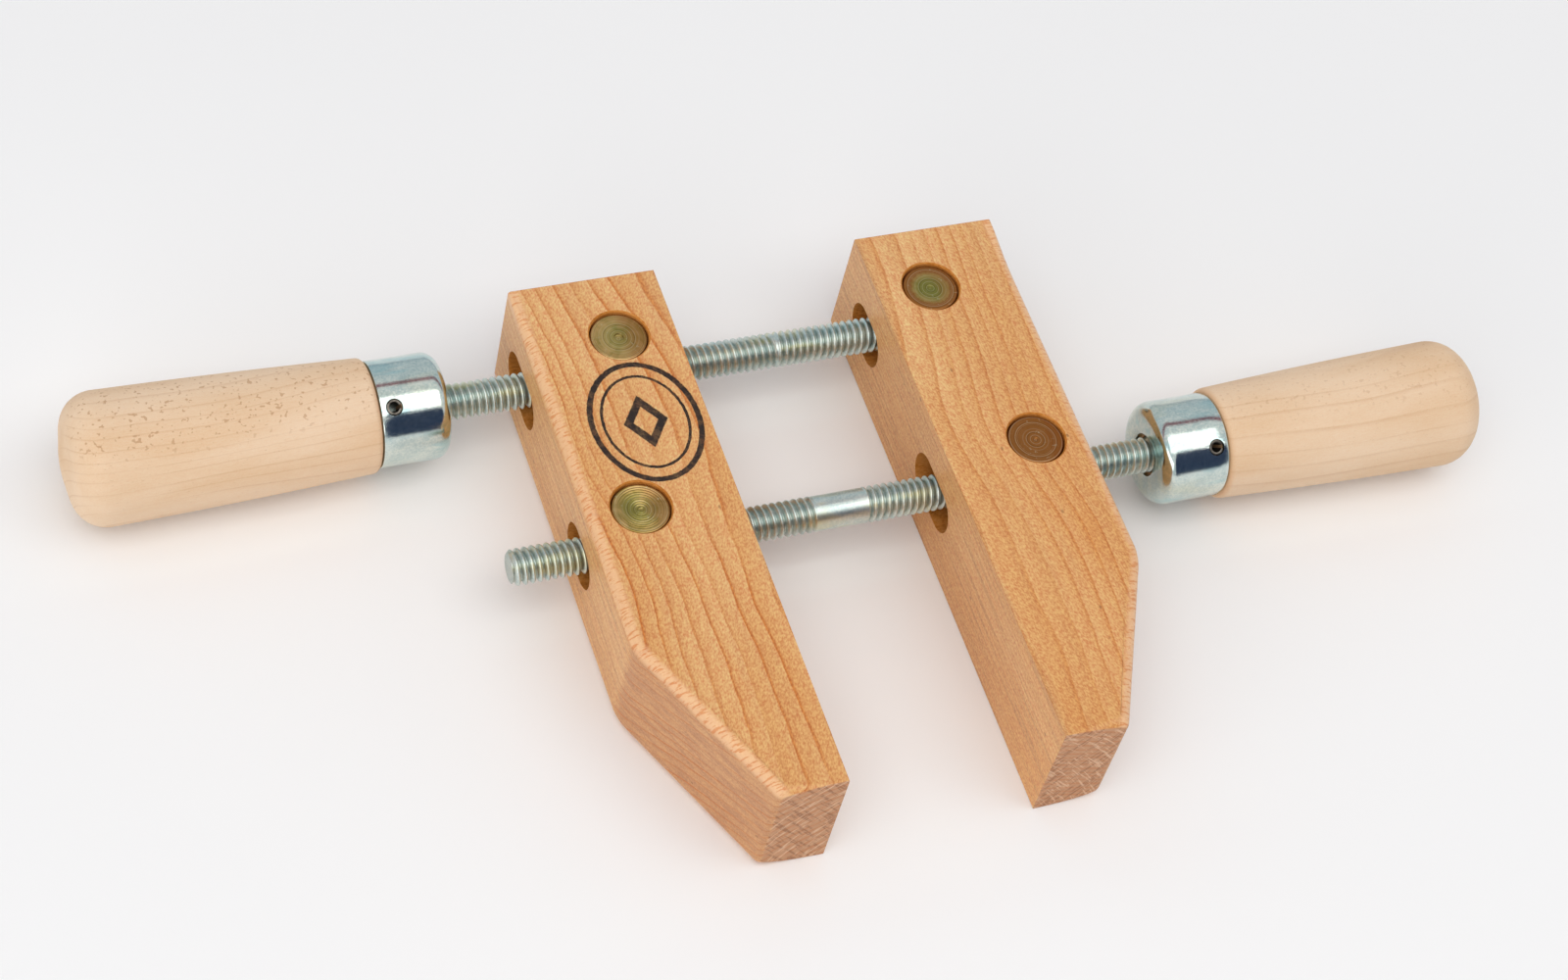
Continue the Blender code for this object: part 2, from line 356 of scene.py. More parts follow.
markPlan = {                           # the burned oval, in millimetres from the inner face
    "centre": (16.0, 31.1),
    "half": (13.4, 17.4),
    "stroke": 1.35,
    "innerRing": 0.79,
    "innerStroke": 0.7,
    "lozenge": (4.4, 6.2),             # to the middle of its stroke
    "lozengeStroke": 1.9,
    "depth": 0.00012,
    "ringSides": 128,
}


def strokeMask(distance, stroke):      # 1 along a burned line, with a soft edge
    return 1 - abs(distance).fade(0.46 * stroke, 0.62 * stroke)


def markMask(recipe, across, along, fuzz):
    wide = abs(across - markPlan["centre"][0])
    tall = abs(along - markPlan["centre"][1])
    halfWide, halfTall = markPlan["half"]
    oval = ((wide / halfWide) ** 2 + (tall / halfTall) ** 2) ** 0.5
    # how fast the oval number grows per millimetre, which turns it into a distance
    perMillimetre = ((wide / halfWide ** 2) ** 2 + (tall / halfTall ** 2) ** 2) ** 0.5 / oval
    outer = strokeMask((oval - 1) / perMillimetre + fuzz * 0.5, markPlan["stroke"])
    toInner = (oval - markPlan["innerRing"]) / perMillimetre
    inner = strokeMask(toInner + fuzz * 0.4, markPlan["innerStroke"])
    lozengeWide, lozengeTall = markPlan["lozenge"]
    facing = math.hypot(1 / lozengeWide, 1 / lozengeTall)
    lozenge = (wide / lozengeWide + tall / lozengeTall - 1) / facing
    sign = strokeMask(lozenge + fuzz * 0.5, markPlan["lozengeStroke"])
    return outer.most(inner).most(sign), oval


def lacqueredMaple(name, side, look):
    material, recipe, shader = newMaterial(name, Coat_Roughness=0.25, Specular_IOR_Level=0.4)
    low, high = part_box(f"{name.split('_')[0]}_jaw")
    inner = (high.x if side < 0 else low.x) * 1000
    width = (high.x - low.x) * 1000
    depth = high.z * 1000
    heel = high.y * 1000
    x, y, z = recipe.millimetres()
    across = (x - inner) * side        # 0 on the clamping face
    shift = look["shift"]

    # distances in from the sides, for what changes at the edges
    taper = jawPlan["taperLength"] * 1000
    noseSlope = Vector((width - jawPlan["noseWidth"] * 1000, taper)).normalized()
    taperTop = -heel + taper
    toTaper = (width - across) * noseSlope.y + (y - taperTop) * noseSlope.x
    toOutside = (width - across).least(toTaper)
    toFlat = z.least(depth - z)
    toEnd = (y + heel).least(heel - y)
    sideFace = 1 - across.least(toOutside).fade(0.2, 1.2)
    taperFace = 1 - toTaper.fade(0.2, 1.2)

    # the year rings, round a pith well outside the jaw
    drift = recipe.noise((across * 0.016, y * 0.011 + shift, z * 0.016), 1) - 0.5
    ripple = recipe.noise((across * 0.05, y * 0.045 + shift, z * 0.05), 2) - 0.5
    jitter = recipe.noise((across * 0.16, y * 0.20 + shift, z * 0.16), 2, 0.6) - 0.5
    bend = drift * 15 + ripple * 2.6 + jitter * 0.55
    ringX = across - look["pith"][0] + y * look["lean"] + bend * look["wobble"]
    ringZ = z - look["pith"][1] + drift * 6
    radius = (ringX * ringX + ringZ * ringZ) ** 0.5
    uneven = recipe.noise((radius * 0.11, shift, 0.0), 1)
    rings = radius / look["ringGap"] + uneven * 1.4
    phase = rings.part()
    strength = recipe.noise(((rings - phase) * 3.7, shift, 0.0), 0).fade(0.32, 0.62)
    wander = recipe.noise((across * 0.08, y * 0.025 + shift, z * 0.08), 2)
    growth = phase.fade(0.40, 0.93) * (1 - phase.fade(0.95, 1.0))
    thin = phase.fade(0.76, 0.94) * (1 - phase.fade(0.955, 1.0))
    line = thin * (0.25 + strength * 0.75) * wander.fade(0.20, 0.52) * look["lines"]
    line = line * (1 - sideFace * 0.6 + taperFace * 0.6)
    lateness = phase * 0.30 + recipe.noise((across * 0.05, y * 0.012 + shift, z * 0.05), 3)
    wood = recipe.blend(lateness.fade(0.25, 0.92), jawTones["early"], jawTones["late"])
    towardsNose = y.fade(34, -4) * (1 - sideFace) * look["warm"]
    wood = recipe.blend(towardsNose, wood, jawTones["tan"])
    besideLine = growth * strength * wander.fade(0.35, 0.65) * look["lines"]
    besideLine = besideLine * (1 - sideFace * 0.7)
    wood = recipe.blend(besideLine * 0.42, wood, jawTones["tan"])
    for spotAcross, spotY in look["patches"]:
        offX = (across - spotAcross) / 3.4
        offY = (y - spotY) / 9.0
        spread = (offX * offX + offY * offY) ** 0.5 + ripple * 1.6
        wood = recipe.blend((1 - spread.fade(0.2, 1.3)) * 0.62, wood, jawTones["tan"])
    streak = recipe.noise((across * 0.30, y * 0.022 + shift, z * 0.85), 4, 0.62)
    streaked = streak.fade(0.44, 0.68) * (0.16 + sideFace * 0.42)
    wood = recipe.blend(streaked, wood, jawTones["streak"])
    # the tapered face is painted darker as painted shade, with some streak in it
    taperShade = taperFace * (0.50 + streak.fade(0.35, 0.65) * 0.30)
    wood = recipe.blend(taperShade, wood, jawTones["taperShade"])
    wood = recipe.blend(line * 0.95, wood, jawTones["line"])

    # short slanting flecks, fibres and a few pores
    fleck = recipe.noise((across * 2.3 + y * 0.6, y * 1.35 + shift, z * 2.3), 2, 0.55)
    fibre = recipe.noise((across * 4.5, y * 0.22 + shift, z * 4.5), 2, 0.6)
    grainy = fleck * 0.70 + fibre * 0.30
    wood = recipe.blend(0.62 - taperFace * 0.30, wood, recipe.ramp(grainy, jawSpeckle), "OVERLAY")
    pore = 1 - recipe.specks((across * 0.15, y * 0.09 + shift, z * 0.15)).fade(0.03, 0.07)
    wood = recipe.blend(pore * 0.6, wood, jawTones["pore"])
    rounded = (1 - toOutside.fade(1.6, 3.4)) * (1 - toFlat.fade(1.4, 3.0))
    dashes = recipe.noise((across * 0.30, y * 1.5 + shift, z * 0.30), 3, 0.62)
    edgeWood = recipe.blend(dashes.fade(0.52, 0.60) * 0.8, jawTones["edge"], jawTones["dash"])
    wood = recipe.blend(rounded * 0.75, wood, edgeWood)

    # end grain at the nose and the heel, with the saw's scratches
    endGrain = 1 - toEnd.fade(0.05, 0.30)
    sweepX = across + 46
    sweepZ = z + 30
    sweep = (sweepX * sweepX + sweepZ * sweepZ) ** 0.5
    scratch = recipe.noise((sweep * 1.25, across * 0.08 - z * 0.08, shift), 3, 0.7)
    counter = recipe.noise(((across - z * 0.8) * 0.85, (across + z) * 0.08, shift + 9), 3, 0.7)
    sawn = recipe.blend(growth * 0.45, jawTones["endGrain"], jawTones["line"])
    sawn = recipe.blend(counter.fade(0.50, 0.60) * 0.70, sawn, jawTones["scratch"])
    sawn = recipe.blend(scratch.fade(0.52, 0.62) * 0.65, sawn, jawTones["polish"])
    wood = recipe.blend(endGrain, wood, sawn)

    height = grainy * 0.6 - line * 0.5 - pore + (scratch - counter) * endGrain * 1.6
    roughness = 0.40 + fleck * 0.14 + endGrain * 0.18
    if side < 0:                       # the burned mark
        fuzz = recipe.noise((across * 0.9, y * 0.9, z), 3, 0.65) - 0.5
        mark, oval = markMask(recipe, across, y, fuzz)
        onTop = z.fade(depth - 1.2, depth - 0.6)
        patchy = recipe.noise((across * 0.5, y * 0.5, z), 3, 0.7)
        burn = mark * onTop * (0.86 + patchy.fade(0.30, 0.60) * 0.14)
        halo = (1 - abs(oval - 1).fade(0.02, 0.12)) * onTop * 0.30
        wood = recipe.blend(halo * patchy, wood, jawTones["scorch"])
        wood = recipe.blend(burn, wood, jawTones["char"])
        roughness = roughness + burn * 0.3
        height = height - burn * 2.0
    recipe.feed(shader.inputs["Base Color"], wood)
    recipe.feed(shader.inputs["Roughness"], roughness)
    recipe.feed(shader.inputs["Coat Weight"], 0.22 - endGrain * 0.22)
    recipe.feed(shader.inputs["Normal"], recipe.bump(height, 0.00005, 0.5))
    return material


def boredWood(name):                   # the rough wood inside the holes and slots, darkened both for its own colour and as painted shade in the recesses
    material, recipe, shader = newMaterial(name, Specular_IOR_Level=0.25)
    x, y, z = recipe.millimetres()
    torn = recipe.noise((x * 0.9, y * 0.9, z * 2.6), 4, 0.65)
    patches = recipe.noise((x * 0.12, y * 0.12, z * 0.2), 2)
    wood = recipe.ramp(torn * 0.7 + patches * 0.4, [
        (0.30, tint(126, 70, 20)),
        (0.52, tint(194, 120, 44)),
        (0.78, tint(220, 156, 86)),
    ])
    recipe.feed(shader.inputs["Base Color"], wood)
    recipe.feed(shader.inputs["Roughness"], 0.72 + torn * 0.2)
    recipe.feed(shader.inputs["Normal"], recipe.bump(torn, 0.00018, 0.7))
    return material


def slotCutter(centre, reach, swing, height, bored):
    # a bar through the nut's axis, whose ends are pulled out along Y so that the screw can swing
    cutter = roundBar("slotCutter", height / 2, reach * 2, centre, jawPlan["slotSides"], alongX)
    openUp(cutter)
    bpy.ops.mesh.select_all(action="SELECT")
    halfStep = math.pi / jawPlan["slotSides"]
    bpy.ops.transform.rotate(value=halfStep, orient_axis="X", center_override=centre)
    bpy.ops.mesh.bisect(plane_co=centre, plane_no=(1, 0, 0), threshold=tiny)
    flare = reach * math.tan(swing)
    for way in (-1, 1):
        pick("VERT", lambda vert: (
            abs(vert.co.x - centre.x) > tiny and (vert.co.y - centre.y) * way > 0
        ))
        bpy.ops.transform.translate(value=(0, way * flare, 0))
    closeUp()
    coat(cutter, bored)
    return cutter


def holeCutter(centre, radius, depth, rim, bored):
    # a straight bar that opens out as it leaves the wood, for a broken edge at each face
    cutter = roundBar("holeCutter", radius, depth - 2 * rim, centre, jawPlan["holeSides"])
    openUp(cutter)
    factor = (radius + 2 * rim) / radius
    for way in (-1, 1):
        pick("FACE", lambda face: face.normal.z * way > 0.9)
        bpy.ops.mesh.extrude_region_move(TRANSFORM_OT_translate={"value": (0, 0, way * 2 * rim)})
        bpy.ops.transform.resize(value=(factor, factor, 1), center_override=centre)
    closeUp()
    coat(cutter, bored)
    return cutter


def sinkMark(jaw, innerX, side, top):  # grooves as deep as the iron burned
    centre = markPlan["centre"]
    middle = Vector((innerX + side * centre[0] / 1000, centre[1] / 1000, top))
    half = markPlan["half"]
    inner = markPlan["innerRing"]
    lozenge = markPlan["lozenge"]
    ringSides = markPlan["ringSides"]
    grooves = (
        (ringSides, half[0], half[1], markPlan["stroke"]),
        (ringSides, half[0] * inner, half[1] * inner, markPlan["innerStroke"]),
        (4, lozenge[0], lozenge[1], markPlan["lozengeStroke"]),
    )
    for sides, halfWide, halfTall, stroke in grooves:
        bpy.ops.mesh.primitive_cylinder_add(
            vertices=sides,
            radius=1,
            depth=2 * markPlan["depth"],
            end_fill_type="NOTHING",
            location=middle,
        )
        groove = bpy.context.object
        groove.scale = (halfWide / 1000, halfTall / 1000, 1)
        settle(groove)
        modify(groove, "SOLIDIFY", thickness=stroke / 1000, offset=0, use_even_offset=True)
        cutAway(jaw, groove)


def growRound(low, high, outerX):      # the long edges are nearly sharp at the heel
    steps = jawPlan["roundSteps"]
    fullY = high.y - jawPlan["roundGrows"]
    zone = jawPlan["outerRound"] + tiny
    leastShare = jawPlan["roundStarts"] / jawPlan["outerRound"]
    for step in range(steps + 1):
        share = step / steps
        ringY = fullY + share * jawPlan["roundGrows"]
        if step < steps:
            bpy.ops.mesh.select_all(action="SELECT")
            bpy.ops.mesh.bisect(plane_co=(0, ringY, 0), plane_no=(0, 1, 0), threshold=tiny)
        factor = 1 - (1 - leastShare) * share * share
        for cornerZ in (low.z, high.z):
            pick("VERT", lambda vert: (
                abs(vert.co.y - ringY) < tiny * 5
                and abs(vert.co.x - outerX) < zone
                and abs(vert.co.z - cornerZ) < zone
            ))
            corner = (outerX, ringY, cornerZ)
            bpy.ops.transform.resize(value=(factor, 1, factor), center_override=corner)


def makeJaw(name, side, wood, bored):
    low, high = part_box(name)
    size = high - low
    outerX = low.x if side < 0 else high.x
    innerX = high.x if side < 0 else low.x
    bpy.ops.mesh.primitive_cube_add(size=1, location=(low + high) / 2, scale=size)
    jaw = settle(bpy.context.object)
    jaw.name = name + "_wood"
    openUp(jaw)

    # the taper to the nose
    taperStart = Vector((outerX, low.y + jawPlan["taperLength"], 0))
    noseOuter = Vector((innerX + side * jawPlan["noseWidth"], low.y, 0))
    run = (noseOuter - taperStart).normalized()
    outward = Vector((-run.y, run.x, 0)) * -side
    if outward.x * side < 0:
        outward = -outward
    bpy.ops.mesh.select_all(action="SELECT")
    bpy.ops.mesh.bisect(
        plane_co=taperStart, plane_no=outward, use_fill=True, clear_outer=True, threshold=tiny
    )

    def upright(edge, spot):
        ends = [vert.co for vert in edge.verts]
        return all((end.xy - spot.xy).length < jawPlan["cornerNear"] for end in ends)

    pick("EDGE", lambda edge: upright(edge, taperStart))
    turn = math.acos(max(-1, min(1, -run.y)))
    bend = jawPlan["taperRound"] * math.tan(turn / 2)
    bpy.ops.mesh.bevel(offset=bend, segments=jawPlan["taperCuts"])
    pick("EDGE", lambda edge: upright(edge, noseOuter))
    corner = math.pi / 2 - turn
    bend = jawPlan["noseRound"] * math.tan(corner / 2)
    bpy.ops.mesh.bevel(offset=bend, segments=jawPlan["noseCuts"])

    # the long outer edges, rounded from the heel to the nose
    def longOuter(edge):
        first, second = [vert.co for vert in edge.verts]
        level = abs(first.z - second.z) < tiny
        farEnough = jawPlan["noseWidth"] * 0.8
        farOut = all((end.x - innerX) * side > farEnough for end in (first, second))
        acrossHeel = all(end.y > high.y - tiny for end in (first, second))
        acrossNose = all(end.y < low.y + tiny for end in (first, second))
        return level and farOut and not acrossHeel and not acrossNose

    pick("EDGE", longOuter)
    bpy.ops.mesh.bevel(offset=jawPlan["outerRound"], segments=jawPlan["outerCuts"])
    growRound(low, high, outerX)
    pick("EDGE", lambda edge: edge.is_manifold and edge.calc_face_angle() > math.radians(35))
    bpy.ops.mesh.bevel(offset=jawPlan["arris"], segments=2)
    closeUp()
    coat(jaw, wood)

    # the nut holes, then the slots
    for place in ("end", "middle"):
        nutLow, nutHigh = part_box(f"{name.split('_')[0]}_{place}_nut")
        centre = (nutLow + nutHigh) / 2
        radius = (nutHigh.y - nutLow.y) / 2 + jawPlan["holeGap"]
        cutAway(jaw, holeCutter(centre, radius, size.z, jawPlan["rimBreak"], bored))
        swing = jawPlan["slotSwing"]
        cutAway(jaw, slotCutter(centre, size.x, swing, jawPlan["slotHeight"], bored))
    if side < 0:
        sinkMark(jaw, innerX, side, high.z)
    softShade(jaw)
    modify(jaw, "WEIGHTED_NORMAL", keep_sharp=True)
    return jaw


# Swivel nuts

nutPlan = {
    "left_end": {
        "rings": 3, "groove": 0.00003, "pip": 0.0011, "pipDepth": 0.00045,
        "green": 0.45, "brown": 0.55, "aged": 0.0, "rim": 0.1, "spin": 0.4,
    },
    "left_middle": {
        "rings": 9, "groove": 0.00014, "pip": 0.0006, "pipDepth": 0.00025,
        "green": 0.35, "brown": 0.45, "aged": 0.0, "rim": 0.1, "spin": 2.0,
    },
    "right_end": {
        "rings": 4, "groove": 0.00002, "pip": 0.0008, "pipDepth": 0.00010,
        "green": 0.9, "brown": 0.45, "aged": 0.15, "rim": 0.9, "spin": 3.1,
    },
    "right_middle": {
        "rings": 6, "groove": 0.00003, "pip": 0.0005, "pipDepth": 0.00015,
        "green": 0.0, "brown": 1.0, "aged": 0.92, "rim": 0.5, "spin": 5.0,
    },
}
nutShape = {
    "rim": 0.00045,
    "rimCuts": 4,
    "pipWall": 0.0002,
    "boreGap": 0.00025,
    "creep": 0.0012,
    "sides": 96,
    "boreSides": 48,
}
nutTones = {
    "gold": tint(208, 174, 112),
    "olive": tint(154, 136, 68),
    "green": tint(122, 134, 62),
    "brown": tint(154, 94, 40),
    "pale": tint(226, 218, 184),
    "groove": tint(72, 56, 28),
}


def yellowZinc(name, centre, look):
    material, recipe, shader = newMaterial(name, Metallic=0.85)
    x, y, z = recipe.millimetres()
    dx = x - centre.x * 1000
    dy = y - centre.y * 1000
    radius = (dx * dx + dy * dy) ** 0.5
    spin = look["spin"]
    cloud = recipe.noise((dx * 0.16 + spin, dy * 0.16, z * 0.1), 3, 0.6, 0.6)
    mottle = recipe.noise((dx * 0.9 + spin, dy * 0.9, z * 0.5), 4, 0.65)
    turned = recipe.noise((radius * 2.6 + spin, 0.0, 0.0), 2, 0.6)
    metal = recipe.blend(cloud.fade(0.35, 0.62), nutTones["olive"], nutTones["gold"])
    greenish = (1 - radius.fade(2.0, 6.5)) * look["green"] + mottle.fade(0.5, 0.8) * 0.2
    metal = recipe.blend(greenish, metal, nutTones["green"])
    brownish = (dx * 0.12 + cloud * 0.9).fade(0.35, 0.95) * look["brown"]
    rimBrown = (radius + mottle * 2.4).fade(5.0, 6.8) * look["rim"]
    metal = recipe.blend(brownish.most(rimBrown).most(look["aged"]), metal, nutTones["brown"])
    metal = recipe.blend(turned.fade(0.52, 0.66) * 0.30, metal, nutTones["pale"])
    metal = recipe.blend(turned.fade(0.50, 0.34) * 0.45, metal, nutTones["groove"])
    metal = recipe.blend(mottle.fade(0.60, 0.72) * 0.35, metal, nutTones["pale"])
    recipe.feed(shader.inputs["Base Color"], metal)
    recipe.feed(shader.inputs["Roughness"], 0.27 + mottle * 0.22)
    height = turned * 0.8 + mottle * 0.2
    recipe.feed(shader.inputs["Normal"], recipe.bump(height, 0.00009, 0.7))
    return material


def makeNut(name, look):
    low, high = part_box(name)
    centre = (low + high) / 2
    radius = (high.y - low.y) / 2
    nut = roundBar(name + "_turned", radius, high.z - low.z, centre, nutShape["sides"])
    openUp(nut)
    pick("EDGE", lambda edge: abs(edge.verts[0].co.z - edge.verts[1].co.z) < tiny)
    bpy.ops.mesh.bevel(offset=nutShape["rim"], segments=nutShape["rimCuts"])
    rings = look["rings"]
    pipWall = nutShape["pipWall"]
    step = (radius - nutShape["rim"] - look["pip"] - pipWall) / (2 * rings)
    for way in (-1, 1):
        pick("FACE", lambda face: face.normal.z * way > 0.99 and len(face.verts) > 8)
        for ring in range(rings):
            bpy.ops.mesh.inset(thickness=step, depth=-look["groove"])
            bpy.ops.mesh.inset(thickness=step, depth=look["groove"] * 0.7)
        bpy.ops.mesh.inset(thickness=pipWall, depth=-look["pipDepth"])
        bpy.ops.mesh.inset(thickness=look["pip"] * 0.5, depth=-look["pipDepth"] * 0.4)
    closeUp()
    screw = "end_spindle" if "end" in name else "middle_spindle"
    spindle = middleOf(screw)
    boreRadius = spanOf(screw)[2] + nutShape["boreGap"]
    boreCentre = Vector((centre.x, spindle.y, spindle.z))
    bore = roundBar("bore", boreRadius, radius * 3, boreCentre, nutShape["boreSides"], alongX)
    if "middle" in name:               # room for the screw to shift as the jaws are angled
        openUp(bore)
        pick("VERT", lambda vert: vert.co.y < spindle.y - tiny)
        bpy.ops.transform.translate(value=(0, -nutShape["creep"], 0))
        closeUp()
    cutAway(nut, bore)
    coat(nut, yellowZinc(name + "_plating", centre, look))
    softShade(nut, 28)
    return nut


# Screws

threadPlan = {
    "pitch": 0.001875,
    "depth": 0.00108,
    "crestWidth": 0.00062,
    "crestRound": 0.00030,
    "rootWidth": 0.00020,
    "steps": 36,
    "tipBreak": 0.0009,
    "crestGap": 0.00001,               # inside the size it is given
    "intoFerrule": 0.0035,             # where the thread ends and the plain end begins
    "plainDrop": 0.0001,
    "buriedTurns": 0.8,
}
screwPlan = {                          # out is the handle's side, and plain is between the hands
    "end": {
        "out": -1, "plain": (0.00145, 0.00155), "plainRadius": 0.0043,
        "fadeTurns": 0.25, "pinTilt": -59,
    },
    "middle": {
        "out": 1, "plain": (-0.0043, 0.0080), "plainRadius": 0.00442,
        "fadeTurns": 0.9, "pinTilt": 52,
    },
}
spindleLook = {
    "shift": 0.0, "yellow": 0.70, "blue": 0.35, "grime": 0.20, "rough": 0.28, "dimple": 0.00003,
    # the thread root's radius, then how dark the painted shade at the roots is
    "rootRadius": 3.55, "rootShade": 0.22,
}
zincTones = {
    "dull": tint(184, 202, 200),
    "bright": tint(222, 230, 222),
    "yellow": tint(216, 210, 166),
    "blue": tint(150, 200, 206),
    # the grime tone also serves for the painted shade in the thread roots
    "grime": tint(92, 90, 70),
}


def threadOutline(crest):              # one pitch of the thread, as (distance, radius)
    pitch = threadPlan["pitch"]
    root = crest - threadPlan["depth"]
    halfCrest = threadPlan["crestWidth"] / 2
    soft = threadPlan["crestRound"]
    half = [
        (0, root),
        (threadPlan["rootWidth"] / 2, root),
        (pitch / 2 - halfCrest - soft * 0.4, crest - soft),
        (pitch / 2 - halfCrest, crest - soft * 0.62),
        (pitch / 2 - halfCrest * 0.66, crest - soft * 0.24),
        (pitch / 2 - halfCrest * 0.25, crest),
    ]
    return half + [(pitch - distance, radius) for distance, radius in reversed(half)]


def threadedLength(name, startX, endX, hand, axis, crest):
    # the outline is drawn point by point, then swept round the axis
    outline = threadOutline(crest)
    pitch = threadPlan["pitch"]
    bpy.ops.mesh.primitive_plane_add(size=tiny * 10, location=(startX - pitch, axis.y, axis.z))
    thread = bpy.context.object
    thread.name = name
    openUp(thread)
    bpy.ops.mesh.select_all(action="SELECT")
    bpy.ops.mesh.merge(type="CENTER")
    bpy.ops.transform.translate(value=(outline[0][0], 0, outline[0][1]))
    for before, after in zip(outline, outline[1:]):
        move = (after[0] - before[0], 0, after[1] - before[1])
        bpy.ops.mesh.extrude_vertices_move(TRANSFORM_OT_translate={"value": move})
    bpy.ops.object.mode_set(mode="OBJECT")
    turns = math.ceil((endX - startX) / pitch) + 3
    modify(
        thread,
        "SCREW",
        axis="X",
        angle=hand * 2 * math.pi,
        screw_offset=pitch,
        iterations=turns,
        steps=threadPlan["steps"],
        render_steps=threadPlan["steps"],
        use_merge_vertices=False,
    )
    settle(thread)
    openUp(thread)
    bpy.ops.mesh.select_all(action="SELECT")
    bpy.ops.mesh.remove_doubles(threshold=tiny * 5)
    bpy.ops.object.mode_set(mode="OBJECT")
    return thread


def trim(thread, atX, keep, fill):     # keep is -1 for what lies towards -X
    openUp(thread)
    bpy.ops.mesh.select_all(action="SELECT")
    bpy.ops.mesh.bisect(
        plane_co=(atX, 0, 0),
        plane_no=(-keep, 0, 0),
        use_fill=fill,
        clear_outer=True,
        threshold=tiny / 10,
    )
    bpy.ops.object.mode_set(mode="OBJECT")


def runOut(thread, atX, radius, reach, axis):
    # the thread gets shallower as it nears the plain length
    for vert in thread.data.vertices:
        offset = Vector((0, vert.co.y - axis.y, vert.co.z - axis.z))
        share = 1 - min(1, abs(vert.co.x - atX) / reach)
        share = share * share * (3 - 2 * share)
        wanted = offset.length + (radius - offset.length) * min(1, share * 1.25)
        offset = offset.normalized() * wanted
        vert.co.y = axis.y + offset.y
        vert.co.z = axis.z + offset.z


def breakTip(thread, tipX, crest, axis):
    # the turned chamfer at the free end
    start = crest - threadPlan["tipBreak"]
    for vert in thread.data.vertices:
        offset = Vector((0, vert.co.y - axis.y, vert.co.z - axis.z))
        most = start + abs(vert.co.x - tipX)
        if offset.length > most:
            offset = offset.normalized() * most
            vert.co.y = axis.y + offset.y
            vert.co.z = axis.z + offset.z


def brightZinc(node, look):
    material, recipe, shader = newMaterial(node + "_zinc", Metallic=1.0)
    x, y, z = recipe.millimetres()
    haze = recipe.noise((x * 0.2, y * 0.3 + look["shift"], z * 0.3), 3, 0.6)
    cloud = recipe.noise((x * 0.05 + 7, y * 0.16, z * 0.16 + look["shift"]), 2, 0.6, 0.4)
    spangle = recipe.noise((x * 1.7, y * 1.7, z * 1.7 + look["shift"]), 4, 0.7)
    frosted = (haze * 0.4 + spangle * 0.6).fade(0.35, 0.65)
    metal = recipe.blend(frosted, zincTones["dull"], zincTones["bright"])
    metal = recipe.blend(cloud.fade(0.52, 0.72) * look["yellow"], metal, zincTones["yellow"])
    metal = recipe.blend(cloud.fade(0.46, 0.30) * look["blue"], metal, zincTones["blue"])
    grime = recipe.noise((x * 0.5, y * 0.5, z * 0.5 + 11), 4, 0.7)
    grimeAndRootShade = grime.fade(0.60, 0.78) * look["grime"]
    if look["rootRadius"]:             # painted shade, dark at the bottom of the thread
        axis = middleOf(node)
        dy = y - axis.y * 1000
        dz = z - axis.z * 1000
        radius = (dy * dy + dz * dz) ** 0.5
        crest = look["rootRadius"] + threadPlan["depth"] * 1000
        grimeAndRootShade = grimeAndRootShade.most((1 - radius.fade(look["rootRadius"], crest - 0.15)) * look["rootShade"])
    # real grime and the painted shade in the thread roots, in one tone
    metal = recipe.blend(grimeAndRootShade, metal, zincTones["grime"])
    recipe.feed(shader.inputs["Base Color"], metal)
    roughness = look["rough"] + spangle * 0.14 + grimeAndRootShade * 0.16
    recipe.feed(shader.inputs["Roughness"], roughness)
    recipe.feed(shader.inputs["Normal"], recipe.bump(spangle, look["dimple"], 0.6))
    return material


def makeSpindle(place, plan, metal):
    node = place + "_spindle"
    low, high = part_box(node)
    axis = (low + high) / 2
    crest = (high.z - low.z) / 2 - threadPlan["crestGap"]
    out = plan["out"]
    threadEnd = spanOf(place + "_ferrule")[0] + threadPlan["intoFerrule"]
    tipX, buriedX = (low.x, high.x) if out > 0 else (high.x, low.x)
    plainLow, plainHigh = plan["plain"]
    ends = sorted((tipX, out * threadEnd))
    pitch = threadPlan["pitch"]
    halves = []
    for startX, endX, hand in ((ends[0], plainLow, 1), (plainHigh, ends[1], -1)):
        half = threadedLength(node + "_thread", startX, endX, hand, axis, crest)
        nearX, farX = (plainLow, startX) if hand > 0 else (plainHigh, endX)
        trim(half, nearX, -hand, False)
        runOut(half, nearX, plan["plainRadius"], pitch * plan["fadeTurns"], axis)
        trim(half, farX, hand, farX == tipX)
        if farX == tipX:
            breakTip(half, tipX, crest, axis)
        else:
            buried = crest - threadPlan["plainDrop"]
            runOut(half, farX, buried, pitch * threadPlan["buriedTurns"], axis)
        halves.append(half)
    takeUp(halves[0])
    halves[1].select_set(True)
    bpy.ops.object.join()
    spindle = halves[0]
    spindle.name = node + "_threaded"

    # the plain length between the two hands, then the plain end inside the handle
    openUp(spindle)
    pick("EDGE", lambda edge: edge.is_boundary and all(
        plainLow - tiny < vert.co.x < plainHigh + tiny for vert in edge.verts))
    bpy.ops.mesh.bridge_edge_loops()
    pick("EDGE", lambda edge: edge.is_boundary)
    reach = buriedX - out * threadEnd
    bpy.ops.mesh.extrude_region_move(TRANSFORM_OT_translate={"value": (reach, 0, 0)})
    bpy.ops.mesh.edge_face_add()
    closeUp()
    coat(spindle, metal)
    softShade(spindle, 50)
    return spindle


# Ferrules

